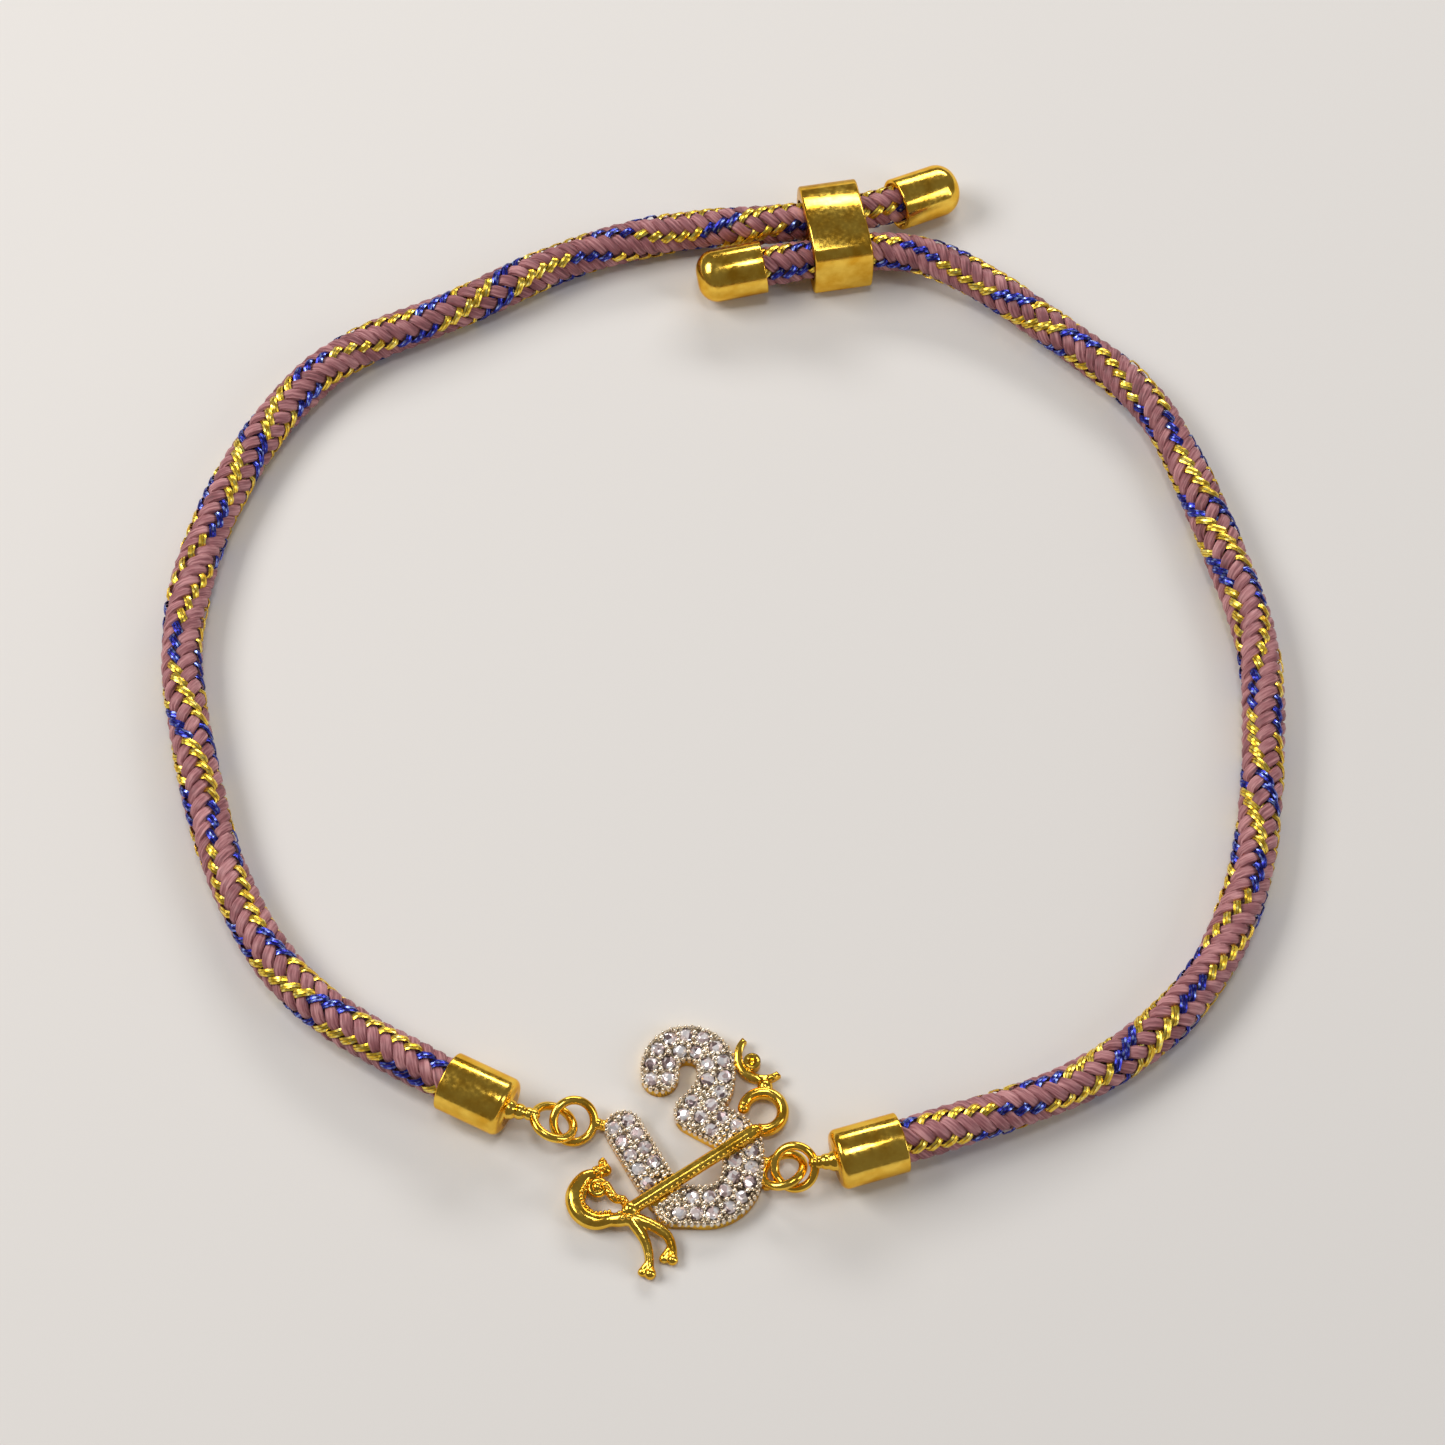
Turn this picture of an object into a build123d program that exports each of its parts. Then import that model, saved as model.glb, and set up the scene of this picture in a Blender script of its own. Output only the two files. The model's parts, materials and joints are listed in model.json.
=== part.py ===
from build123d import *
import math
import os

# A braided thread bracelet with a slider, lying as an open loop. Lengths are in millimetres.
# The origin is the middle of the wrist opening, on the surface that the bracelet lies on.
# +X runs to the right of the sign, +Y from the sign to the slider, and +Z is up.

# Driving sizes of the cords and of the metal that holds them
cord_diameter = 3.2
cord_play = 0.15             # air all round a cord inside metal
cord_seat = 0.1              # air between a cord's end and the wall behind it

cap_wall = 0.35
cap_depth = 4.2              # how far a cord goes into an end cap
cap_end_wall = 0.6
cap_shoulder = 0.5           # rounding of the closed end
rim_rounding = 0.12          # rounding of an open mouth

stopper_depth = 4.3
stopper_end_wall = 1.15
stopper_dome = 1.6           # rounding of the domed end

slider_length = 4.7
slider_side_wall = 0.55
slider_top_wall = 0.9
slider_web = 0.3             # metal between the two bores
slider_corner = 1.25
slider_bulge = 0.25          # how far each flat side swells
slider_rim = 0.2             # rounding of the ends
slider_place = (9.05, 38.78)
slider_turn = 10.0           # degrees, from +X to the bores

# Driving sizes of the links, shared by the caps' loops and the sign's rings
link_wire = 0.62
link_radius = 1.45           # middle of the wire
stem_wire = 0.7
solder_lumps = ((0.0, 0.72), (0.42, 0.56), (0.8, 0.46), (1.0, 0.42))    # share of the stem, radius

# Driving sizes of the sign
plate_height = 1.0
plate_chamfer = 0.12
charm_place = (-1.35, -37.14)

stone_diameter = 1.0
stone_gap = 0.15             # air between neighbouring stones
stone_play = 0.04            # air between a stone and its seat
stone_wall = 0.1             # least metal between a seat and the sign's edge
stone_crown = 0.16
stone_girdle = 0.04
stone_pavilion = 0.3
stone_table_share = 0.58     # of the stone's diameter
stone_culet_share = 0.1
stone_facets = 8
prong_radius = 0.17
prong_rise = 0.06            # middle of a prong's ball above the plate
prong_spread = 0.15          # each way from the middle of two neighbouring stones
prong_clear = 0.02

hook_rim = 0.255             # metal beside two rows of stones, in each stroke of the sign
bowl_rim = 0.345
arm_rim = 0.225

flute_radius = 0.42
flute_lift = 0.28            # its middle above the plate
flute_ends = ((-4.96, -6.18), (3.65, -0.4))

curl_place = (4.17, 1.19)
curl_radius = 1.38
curl_width = 0.85
curl_height = 1.15
curl_middle = 0.7            # height of its middle above the surface
curl_start = 168.0           # degrees, the free tip
curl_sweep = 275.0           # clockwise from the tip to the flute

crescent_place = (4.1, 5.3)
crescent_radius = 1.95
crescent_inner = 1.55
crescent_shift = 0.22        # of the inner circle, towards the opening
crescent_open = 43.0         # degrees, the way the crescent opens
crescent_thick = 0.65
crescent_base = 0.3
crescent_edge = 0.14         # rounding of its upper edges
dot_place = (3.42, 4.82)
dot_radius = 0.6
dot_hole = 0.28
dot_hole_depth = 0.35
dot_thick = 0.85

knot_radius = 0.58           # at the flute's lower end
foot_radius = 0.36           # under the flute's upper end
neck_share = 0.93            # width of a limb's necks, of its balls
eye_place = (-7.22, -4.4, 0.82)
eye_radius = 0.5
eye_wire = 0.5
eye_ball = 0.42

# Heights of a cord's middle above where it rests on the surface
bore_radius = cord_diameter / 2 + cord_play
cap_radius = bore_radius + cap_wall
slider_height = 2 * bore_radius + 2 * slider_top_wall
slider_width = 4 * bore_radius + slider_web + 2 * slider_side_wall
on_surface = 0.0
in_cap = cap_radius - cord_diameter / 2
in_slider = slider_height / 2 - cord_diameter / 2
in_stopper = in_cap + 0.05

# Routes of the cords, from the end cap to the stopper: x, y and lift of each point
route_left = [
    (-15.4, -36.0, in_cap),
    (-23.5, -32.0, in_cap),
    (-31.0, -26.6, on_surface),
    (-36.0, -18.0, on_surface),
    (-38.9, -8.5, on_surface),
    (-41.0, 1.5, on_surface),
    (-39.6, 11.5, on_surface),
    (-36.0, 20.5, on_surface),
    (-30.5, 28.0, on_surface),
    (-21.5, 32.0, on_surface),
    (-12.5, 37.5, on_surface),
    (-3.4, 40.3, on_surface),
    (4.1, 39.83, in_slider),
    (12.6, 41.34, in_slider),
    (17.8, 43.9, in_stopper),
]
route_right = [
    (8.4, -39.9, in_cap),
    (17.5, -37.2, in_cap),
    (26.5, -33.6, on_surface),
    (34.0, -27.2, on_surface),
    (38.2, -18.5, on_surface),
    (39.9, -8.5, on_surface),
    (40.5, 1.0, on_surface),
    (38.0, 10.5, on_surface),
    (36.0, 17.5, on_surface),
    (33.3, 24.0, on_surface),
    (27.3, 29.4, on_surface),
    (20.3, 35.3, in_cap),
    (14.2, 37.76, in_slider),
    (5.0, 36.13, in_slider),
    (-0.8, 35.1, in_stopper),
]

# Strokes of the sign, from the sign's own origin: width, corner radii and points
two_rows = 2 * stone_diameter + stone_gap
strokes = [
    {"width": two_rows + 2 * hook_rim, "radii": [1.8, 1.9, 2.4],
     "points": [(-3.03, 3.9), (-3.03, 6.25), (0.9, 6.25), (0.9, 2.9), (-0.4, 1.3)]},
    {"width": two_rows + 2 * bowl_rim, "radii": [1.7, 2.6],
     "points": [(-0.6, 1.1), (2.8, -0.85), (2.75, -5.82), (-1.95, -5.72)]},
    {"width": two_rows + 2 * arm_rim, "radii": [20.0],
     "points": [(-5.5, -0.12), (-4.2, -2.36), (-2.75, -4.85)]},
]

# Limbs cast with the sign, from its own origin: x, y, height and radius of each ball
limbs = {
    "feather": [(-7.09, -3.38, 0.6, 0.28), (-8.19, -3.86, 0.6, 0.4), (-8.71, -4.95, 0.6, 0.54),
                (-8.39, -6.11, 0.6, 0.58), (-7.39, -6.78, 0.6, 0.52), (-6.19, -6.62, 0.6, 0.42)],
    "rib": [(-8.06, -4.6, 0.95, 0.2), (-8.3, -5.6, 1.0, 0.24), (-7.6, -6.4, 1.0, 0.26),
            (-6.3, -6.7, 0.95, 0.2)],
    "crest": [(-7.2, -3.3, 0.75, 0.5), (-6.72, -3.12, 0.7, 0.44), (-6.92, -2.58, 0.65, 0.33)],
    "twig": [(-6.66, -4.3, 0.85, 0.36), (-6.05, -5.22, 0.95, 0.29), (-5.47, -5.32, 1.0, 0.27),
             (-5.05, -6.05, 1.1, 0.22)],
    "root": [(-6.15, -6.8, 0.75, 0.42), (-5.1, -6.75, 1.0, 0.5)],
    "first tassel": [(-4.95, -6.8, 1.05, 0.4), (-4.1, -8.0, 0.85, 0.34), (-3.7, -8.8, 0.65, 0.3),
                     (-3.6, -9.7, 0.47, 0.27), (-3.55, -10.45, 0.4, 0.4)],
    "its tuft": [(-3.6, -9.7, 0.47, 0.25), (-4.1, -10.3, 0.27, 0.27)],
    "second tassel": [(-4.85, -6.75, 1.05, 0.4), (-3.4, -7.25, 0.9, 0.36), (-2.45, -7.85, 0.7, 0.32),
                      (-2.05, -8.7, 0.5, 0.28), (-2.05, -9.45, 0.38, 0.38)],
    "its own tuft": [(-2.1, -8.6, 0.5, 0.25), (-2.65, -9.35, 0.3, 0.3)],
    "moon's root": [(4.32, 3.08, 0.62, 0.55), (4.45, 2.6, 0.7, 0.4)],
}

# Rings of the sign, from its own origin, with the lumps that hold them: x, y, height and radius
charm_links = [
    {"place": (-8.95, 0.32, 1.15), "pitch": 18, "roll": 25,
     "lumps": [(-7.3, 0.32, 0.6, 0.42), (-6.95, 0.28, 0.45, 0.4)]},
    {"place": (5.52, -3.28, 1.15), "pitch": -20, "roll": -22,
     "lumps": [(4.4, -2.5, 0.45, 0.42), (4.4, -4.1, 0.5, 0.42)]},
]
# Loops of the end caps, from the point where the stem meets the loop
cap_loops = {
    "left": {"near": (-13.0, -36.75), "turn": -15, "pitch": 18, "roll": -25},
    "right": {"near": (6.3, -40.23), "turn": 185, "pitch": 22, "roll": -22},
}


def world(place, height):
    return Vector(charm_place[0] + place[0], charm_place[1] + place[1], height)


def rod(start, end, radius):
    line = Vector(end) - Vector(start)
    return Plane(origin=start, z_dir=line) * Cylinder(
        radius, line.length, align=(Align.CENTER, Align.CENTER, Align.MIN))


def ball(place, radius):
    # the seam faces down, out of the way of the wires
    return Plane(origin=place, x_dir=(0, 0, -1), z_dir=(0, 1, 0)) * Sphere(radius)


def ring(place, turn, pitch, roll, radius, wire):
    # pitch lowers the far side of the ring, roll raises its left side, seen along turn
    seam = Rot(0, 0, 90)
    tilt = Rot(0, 0, turn) * Rot(0, pitch, 0) * Rot(roll, 0, 0) * seam
    return Pos(*place) * tilt * Torus(radius, wire / 2)


def make_limb(balls):
    # a ball at each place and a tapered neck from each ball to the next
    parts = [ball(place[:3], place[3]) for place in balls]
    for first, second in zip(balls, balls[1:]):
        start = Vector(*first[:3])
        line = Vector(*second[:3]) - start
        parts.append(Plane(origin=start, z_dir=line) * Cone(
            neck_share * first[3], neck_share * second[3], line.length,
            align=(Align.CENTER, Align.CENTER, Align.MIN)))
    return parts


# Cords

def route_points(route):
    return [Vector(x, y, cord_diameter / 2 + lift) for x, y, lift in route]


def route_radii(points):
    radii = []
    for before, corner, after in zip(points, points[1:], points[2:]):
        half_turn = math.radians((corner - before).get_angle(after - corner)) / 2
        shorter = min((corner - before).length, (after - corner).length)
        radii.append(0.45 * shorter / math.tan(half_turn))
    return radii


def make_cord(route, name):
    points = route_points(route)
    radii = route_radii(points)
    path = FilletPolyline(*points, radius=radii)
    cord = sweep(Plane(origin=path @ 0, z_dir=path % 0) * Circle(cord_diameter / 2), path=path)
    area = math.pi * cord_diameter ** 2 / 4
    print(name, "length", round(path.length, 1), "volume", round(cord.volume, 1),
          "section times length", round(area * path.length, 1))
    print(name, "radii", [round(radius, 1) for radius in radii])
    return cord


# Metal on the cords' ends, drawn with +Z out of the mouth and the cord's end at zero

def end_frame(near, far):
    return Plane(origin=near, z_dir=far - near)


def make_shell(depth, end_wall, end_rounding):
    tube = Pos(0, 0, -cord_seat - end_wall) * Cylinder(
        cap_radius, depth + end_wall, align=(Align.CENTER, Align.CENTER, Align.MIN))
    rings = tube.edges().filter_by(GeomType.CIRCLE).sort_by(Axis.Z)
    tube = fillet(rings[0], end_rounding)
    rings = tube.edges().filter_by(GeomType.CIRCLE).sort_by(Axis.Z)
    return fillet(rings[-1], rim_rounding)


def make_bore(depth):
    return Pos(0, 0, -cord_seat) * Cylinder(
        bore_radius, depth, align=(Align.CENTER, Align.CENTER, Align.MIN))


def make_stopper(route):
    points = route_points(route)
    shell = make_shell(stopper_depth, stopper_end_wall, stopper_dome)
    return end_frame(points[-1], points[-2]) * (shell - make_bore(stopper_depth))


def make_end_cap(route, loop):
    points = route_points(route)
    frame = end_frame(points[0], points[1])
    shell = frame * make_shell(cap_depth, cap_end_wall, cap_shoulder)
    end = frame.from_local_coords(Vector(0, 0, -cord_seat - cap_end_wall))
    near = Vector(*loop["near"], end.Z)
    turn = math.radians(loop["turn"])
    pitch = math.radians(loop["pitch"])
    reach = link_radius * math.cos(pitch)
    middle = near + Vector(reach * math.cos(turn), reach * math.sin(turn),
                           -link_radius * math.sin(pitch))
    loop_ring = ring(middle, loop["turn"], loop["pitch"], loop["roll"], link_radius, link_wire)
    lumps = [ball(end + (near - end) * share, radius) for share, radius in solder_lumps]
    outside = shell + lumps + [rod(end, near, stem_wire / 2), loop_ring]
    return outside - frame * make_bore(cap_depth)


# Slider, drawn across its bores: local x to the north bore, local y up

def make_slider():
    turn = math.radians(slider_turn)
    along = Vector(math.cos(turn), math.sin(turn), 0)
    middle = Vector(slider_place[0], slider_place[1], slider_height / 2)
    frame = Plane(origin=middle - along * (slider_length / 2),
                  x_dir=(-along.Y, along.X, 0), z_dir=along)
    half_width = slider_width / 2
    half_height = slider_height / 2
    side = half_width - slider_bulge
    top = half_height - slider_bulge
    outline = [
        ThreePointArc((-side, -top), (0, -half_height), (side, -top)),
        ThreePointArc((side, -top), (half_width, 0), (side, top)),
        ThreePointArc((side, top), (0, half_height), (-side, top)),
        ThreePointArc((-side, top), (-half_width, 0), (-side, -top)),
    ]
    section = make_face(outline)
    section = fillet(section.vertices(), slider_corner)
    pitch = 2 * bore_radius + slider_web
    for place in (-pitch / 2, pitch / 2):
        section = section - Pos(place, 0) * Circle(bore_radius)
    body = extrude(section, slider_length)
    ends = body.faces().sort_by(Axis.Z)
    rims = ends[0].outer_wire().edges() + ends[-1].outer_wire().edges()
    return frame * fillet(rims, slider_rim)


# The sign: plate, seats, stones and prongs

def stroke_path(stroke):
    return FilletPolyline(*stroke["points"], radius=stroke["radii"])


def make_plate():
    plate = Part()
    for stroke in strokes:
        path = stroke_path(stroke)
        face = trace(path, stroke["width"])
        for end in (path @ 0, path @ 1):
            face = face + Pos(*end) * Circle(stroke["width"] / 2)
        bar = extrude(face, plate_height)
        top = bar.faces().sort_by(Axis.Z)[-1].outer_wire().edges()
        plate = plate + chamfer(top, plate_chamfer)
    return plate


def flute_distance(place):
    start = Vector(*flute_ends[0], 0)
    line = Vector(*flute_ends[1], 0) - start
    offset = place - start
    share = max(0.0, min(1.0, offset.dot(line) / line.length ** 2))
    return (offset - line * share).length


def stone_places():
    pitch = stone_diameter + stone_gap
    row = pitch / 2
    clear_of_flute = flute_radius + stone_diameter / 2 + stone_play
    step = 0.05
    places = []

    def add(place):
        if flute_distance(place) < clear_of_flute:
            return
        if all((place - other).length >= pitch for other in places):
            places.append(place)

    for offset in (row, -row, 0.0):
        for stroke in strokes:
            path = stroke_path(stroke)
            total = path.length
            room = stroke["width"] / 2 - stone_diameter / 2 - stone_play - stone_wall
            beyond = math.sqrt(room ** 2 - offset ** 2)
            travel = -beyond
            while travel <= total + beyond:
                on_path = max(0.0, min(total, travel))
                heading = path % (on_path / total)
                side = Vector(-heading.Y, heading.X, 0)
                add(path @ (on_path / total) + heading * (travel - on_path) + side * offset)
                travel += step
    return places


def prong_places(stones):
    pitch = stone_diameter + stone_gap
    clear = stone_diameter / 2 + stone_play + prong_radius + prong_clear
    half_pitch = pitch / 2 - prong_spread
    aside = math.sqrt(clear ** 2 - half_pitch ** 2)
    samples = []
    for stroke in strokes:
        path = stroke_path(stroke)
        count = int(path.length / 0.1)
        for number in range(count + 1):
            samples.append((path @ (number / count), stroke["width"] / 2))
    places = []

    def add(place):
        if any((place - stone).length < clear - 0.001 for stone in stones):
            return
        if any((place - other).length < 1.6 * prong_radius for other in places):
            return
        if flute_distance(place) < flute_radius + prong_radius + prong_clear:
            return
        if any((place - middle).length < half - prong_radius for middle, half in samples):
            places.append(place)

    for number, first in enumerate(stones):
        for second in stones[number + 1:]:
            gap = (second - first).length
            middle = (first + second) * 0.5
            if 1.2 * pitch < gap < 1.8 * pitch:
                add(middle)
    for number, first in enumerate(stones):
        for second in stones[number + 1:]:
            gap = (second - first).length
            if gap > 1.2 * pitch:
                continue
            middle = (first + second) * 0.5
            along = (second - first).normalized()
            side = Vector(-along.Y, along.X, 0)
            for way in (1, -1):
                for spread in (-prong_spread, prong_spread):
                    add(middle + side * (way * aside) + along * spread)
    return places


def make_stone():
    sections = [
        (-stone_girdle - stone_pavilion, stone_diameter * stone_culet_share),
        (-stone_girdle, stone_diameter),
        (0.0, stone_diameter),
        (stone_crown, stone_diameter * stone_table_share),
    ]
    faces = [Pos(0, 0, height) * RegularPolygon(width / 2, stone_facets)
             for height, width in sections]
    return loft(faces, ruled=True)


def make_stones(places):
    stone = make_stone()
    turn = 137.5             # degrees, so that neighbouring stones don't face the same way
    return [Pos(*world((place.X, place.Y), plate_height)) * Rot(0, 0, number * turn) * stone
            for number, place in enumerate(places)]


def make_crescent():
    opening = math.radians(crescent_open)
    outer = Pos(*crescent_place) * Circle(crescent_radius)
    shift = (crescent_place[0] + crescent_shift * math.cos(opening),
             crescent_place[1] + crescent_shift * math.sin(opening))
    inner = Pos(*shift) * Circle(crescent_inner)
    reach = 2 * crescent_radius
    keep = Pos(*crescent_place) * Rot(0, 0, crescent_open) * Rectangle(
        reach, reach, align=(Align.MAX, Align.CENTER))
    moon = extrude((outer - inner) & keep, crescent_thick)
    edges = moon.faces().sort_by(Axis.Z)[-1].outer_wire().edges()
    moon = Pos(0, 0, crescent_base) * chamfer(edges, crescent_edge)
    cup = Pos(*dot_place, crescent_base) * (
        Cylinder(dot_radius, dot_thick, align=(Align.CENTER, Align.CENTER, Align.MIN))
        - Pos(0, 0, dot_thick - dot_hole_depth) * Cylinder(
            dot_hole, dot_hole_depth, align=(Align.CENTER, Align.CENTER, Align.MIN)))
    return [moon, cup]


def make_curl():
    section = Plane.XZ * (Pos(curl_radius, 0) * Ellipse(curl_width / 2, curl_height / 2))
    bent = revolve(section, Axis.Z, -curl_sweep)
    tip = Pos(curl_radius, 0, 0) * Sphere(curl_width / 2)
    return Pos(*curl_place, curl_middle) * Rot(0, 0, curl_start) * (bent + tip)


def make_charm(stones, prongs):
    height = plate_height + flute_lift
    flute = rod((*flute_ends[0], height), (*flute_ends[1], height), flute_radius)
    parts = [flute, ball((*flute_ends[0], height), knot_radius), make_curl()]
    parts += [ball((*flute_ends[1], height), flute_radius),
              rod((*flute_ends[1], curl_middle), (*flute_ends[1], height), foot_radius)]
    parts += make_crescent()
    parts += [ring(eye_place, 0, 0, 0, eye_radius, eye_wire), ball(eye_place, eye_ball)]
    for balls in limbs.values():
        parts += make_limb(balls)
    for link in charm_links:
        parts.append(ring(link["place"], 0, link["pitch"], link["roll"], link_radius, link_wire))
        parts += [ball(lump[:3], lump[3]) for lump in link["lumps"]]
    depth = stone_girdle + stone_pavilion + stone_play
    seat = Cylinder(stone_diameter / 2 + stone_play, depth,
                    align=(Align.CENTER, Align.CENTER, Align.MAX))
    seats = [Pos(place.X, place.Y, plate_height) * seat for place in stones]
    head = Sphere(prong_radius)
    heads = [Pos(place.X, place.Y, plate_height + prong_rise) * head for place in prongs]
    plate = make_plate() - seats + heads
    return Pos(charm_place[0], charm_place[1], 0) * (plate + parts)


def save(solid, name):
    export_step(solid, "parts/" + name + ".step")


def main():
    os.makedirs("parts", exist_ok=True)
    stones = stone_places()
    prongs = prong_places(stones)
    print("stones", len(stones), "prongs", len(prongs))
    save(make_cord(route_left, "cord_left"), "cord_left")
    save(make_cord(route_right, "cord_right"), "cord_right")
    save(make_slider(), "slider")
    save(make_stopper(route_left), "stopper_right")
    save(make_stopper(route_right), "stopper_left")
    save(make_end_cap(route_left, cap_loops["left"]), "end_cap_left")
    save(make_end_cap(route_right, cap_loops["right"]), "end_cap_right")
    save(make_charm(stones, prongs), "charm_frame")
    save(Compound(children=make_stones(stones)), "pave_stones")


main()
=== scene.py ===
import bpy
import json
import math
import random
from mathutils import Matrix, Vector, noise

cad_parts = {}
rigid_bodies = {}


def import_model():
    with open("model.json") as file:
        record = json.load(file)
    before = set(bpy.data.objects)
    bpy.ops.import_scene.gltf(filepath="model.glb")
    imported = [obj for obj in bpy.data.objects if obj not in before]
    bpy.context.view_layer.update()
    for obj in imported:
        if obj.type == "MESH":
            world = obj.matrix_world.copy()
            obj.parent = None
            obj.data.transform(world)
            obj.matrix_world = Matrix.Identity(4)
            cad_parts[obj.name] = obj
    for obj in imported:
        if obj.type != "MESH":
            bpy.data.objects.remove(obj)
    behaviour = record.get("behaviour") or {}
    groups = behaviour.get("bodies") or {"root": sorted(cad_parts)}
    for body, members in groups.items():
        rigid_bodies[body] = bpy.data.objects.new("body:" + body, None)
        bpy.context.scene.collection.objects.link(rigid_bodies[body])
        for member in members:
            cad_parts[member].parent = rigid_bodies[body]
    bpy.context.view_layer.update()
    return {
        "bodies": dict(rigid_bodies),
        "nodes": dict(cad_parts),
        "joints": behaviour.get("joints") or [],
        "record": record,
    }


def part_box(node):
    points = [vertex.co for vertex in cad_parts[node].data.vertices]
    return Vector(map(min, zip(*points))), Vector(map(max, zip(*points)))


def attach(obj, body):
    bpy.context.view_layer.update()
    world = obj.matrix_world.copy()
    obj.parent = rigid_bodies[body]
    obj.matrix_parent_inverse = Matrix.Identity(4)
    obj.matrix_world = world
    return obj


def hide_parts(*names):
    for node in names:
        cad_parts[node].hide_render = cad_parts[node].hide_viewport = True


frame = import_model()
mm = 0.001
print("frame loaded")


# small helpers

def clearSelection():
    if bpy.context.mode != "OBJECT":
        bpy.ops.object.mode_set(mode="OBJECT")
    bpy.ops.object.select_all(action="DESELECT")


def pick(obj):
    clearSelection()
    obj.select_set(True)
    bpy.context.view_layer.objects.active = obj


def newMaterial(name):
    mat = bpy.data.materials.new(name)
    mat.use_nodes = True
    nodes = mat.node_tree.nodes
    return mat, nodes, mat.node_tree.links, nodes["Principled BSDF"]


def addNode(nodes, kind, **inputs):
    node = nodes.new(kind)
    for key, value in inputs.items():
        node.inputs[key.replace("_", " ")].default_value = value
    return node


def objectCoords(nodes):
    return nodes.new("ShaderNodeTexCoord").outputs["Object"]


def noiseTexture(nodes, links, coords, scale, detail):
    texture = addNode(nodes, "ShaderNodeTexNoise", Scale=scale, Detail=detail)
    links.new(coords, texture.inputs["Vector"])
    return texture.outputs["Fac"]


def remap(nodes, links, value, fromRange, toRange):
    node = addNode(nodes, "ShaderNodeMapRange", From_Min=fromRange[0], From_Max=fromRange[1],
                   To_Min=toRange[0], To_Max=toRange[1])
    links.new(value, node.inputs["Value"])
    return node.outputs["Result"]


def toned(nodes, links, value, stops):
    ramp = nodes.new("ShaderNodeValToRGB")
    while len(ramp.color_ramp.elements) < len(stops):
        ramp.color_ramp.elements.new(0.5)
    for element, (place, colour) in zip(ramp.color_ramp.elements, stops):
        element.position = place
        element.color = (*colour, 1)
    links.new(value, ramp.inputs["Fac"])
    return ramp.outputs["Color"]


def addBump(nodes, links, shader, height, strength, distance):
    bump = addNode(nodes, "ShaderNodeBump", Strength=strength, Distance=distance)
    links.new(height, bump.inputs["Height"])
    links.new(bump.outputs["Normal"], shader.inputs["Normal"])
    return bump


# camera, as the photo was taken: 61 degrees above the surface

cameraSet = {"elevation": 61, "distance": 230 * mm, "target": (0, -5.5 * mm, 1.6 * mm),
             "lens": 77.4, "sensor": 36, "clipStart": 5 * mm}


def placeCamera():
    rise = math.radians(cameraSet["elevation"])
    target = Vector(cameraSet["target"])
    back = Vector((0, -math.cos(rise), math.sin(rise)))
    clearSelection()
    bpy.ops.object.camera_add(location=target + back * cameraSet["distance"],
                              rotation=(math.pi / 2 - rise, 0, 0))
    camera = bpy.context.object
    camera.name = "photoCamera"
    camera.data.lens = cameraSet["lens"]
    camera.data.sensor_width = cameraSet["sensor"]
    camera.data.clip_start = cameraSet["clipStart"]
    bpy.context.scene.camera = camera


placeCamera()
print("camera placed")


# soft studio light: each lamp has its place, its size, its power and its tint, and faces the middle

lamps = {
    "softboxLeft": {"place": (-0.34, 0.06, 0.34), "size": (0.30, 0.20), "power": 1.35,
                    "tint": (1, 0.97, 0.93)},
    "softboxBack": {"place": (0.10, 0.46, 0.26), "size": (0.44, 0.10), "power": 1.2,
                    "tint": (1, 0.98, 0.95)},
    "fillRight": {"place": (0.42, -0.14, 0.22), "size": (0.10, 0.30), "power": 0.45,
                  "tint": (0.95, 0.97, 1)},
    "topCard": {"place": (0.02, -0.02, 0.55), "size": (0.12, 0.12), "power": 0.45,
                "tint": (1, 1, 1)},
}
studio = {"world": (0.69, 0.65, 0.60), "worldStrength": 0.24}
floorSet = {"size": 3.0, "drop": -0.02 * mm, "colour": (0.78, 0.76, 0.745), "roughness": 0.75,
            "grainScale": 900.0, "grainDetail": 3.0, "grain": 0.03, "grainDepth": 0.1 * mm}


def lightScene():
    for name, lamp in lamps.items():
        clearSelection()
        bpy.ops.object.light_add(type="AREA", location=lamp["place"])
        light = bpy.context.object
        light.name = name
        light.data.shape = "RECTANGLE"
        light.data.size, light.data.size_y = lamp["size"]
        light.data.energy = lamp["power"]
        light.data.color = lamp["tint"]
        light.rotation_euler = (-Vector(lamp["place"])).to_track_quat("-Z", "Y").to_euler()
    world = bpy.data.worlds.new("studioWorld")
    world.use_nodes = True
    bpy.context.scene.world = world
    background = world.node_tree.nodes["Background"]
    background.inputs["Color"].default_value = (*studio["world"], 1)
    background.inputs["Strength"].default_value = studio["worldStrength"]
    bpy.context.scene.view_settings.view_transform = "Standard"   # keeps the metal's colour


def layFloor():
    clearSelection()
    bpy.ops.mesh.primitive_plane_add(size=floorSet["size"], location=(0, 0, floorSet["drop"]))
    floor = bpy.context.object
    floor.name = "paleFloor"
    mat, nodes, links, shader = newMaterial("paleFloorCard")
    grain = noiseTexture(nodes, links, objectCoords(nodes), floorSet["grainScale"],
                         floorSet["grainDetail"])
    shader.inputs["Base Color"].default_value = (*floorSet["colour"], 1)
    shader.inputs["Roughness"].default_value = floorSet["roughness"]
    addBump(nodes, links, shader, grain, floorSet["grain"], floorSet["grainDepth"])
    floor.data.materials.append(mat)


lightScene()
layFloor()
print("lights and floor set")


# metals: colour, colour of the deeper patches, tint at grazing angles, and how rough and uneven

giltSet = {"colour": (1.0, 0.66, 0.10), "deep": (0.78, 0.41, 0.03), "edge": (1.0, 0.80, 0.52),
           "roughness": 0.10, "dents": 0.10, "crinkle": 0.03}
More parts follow.
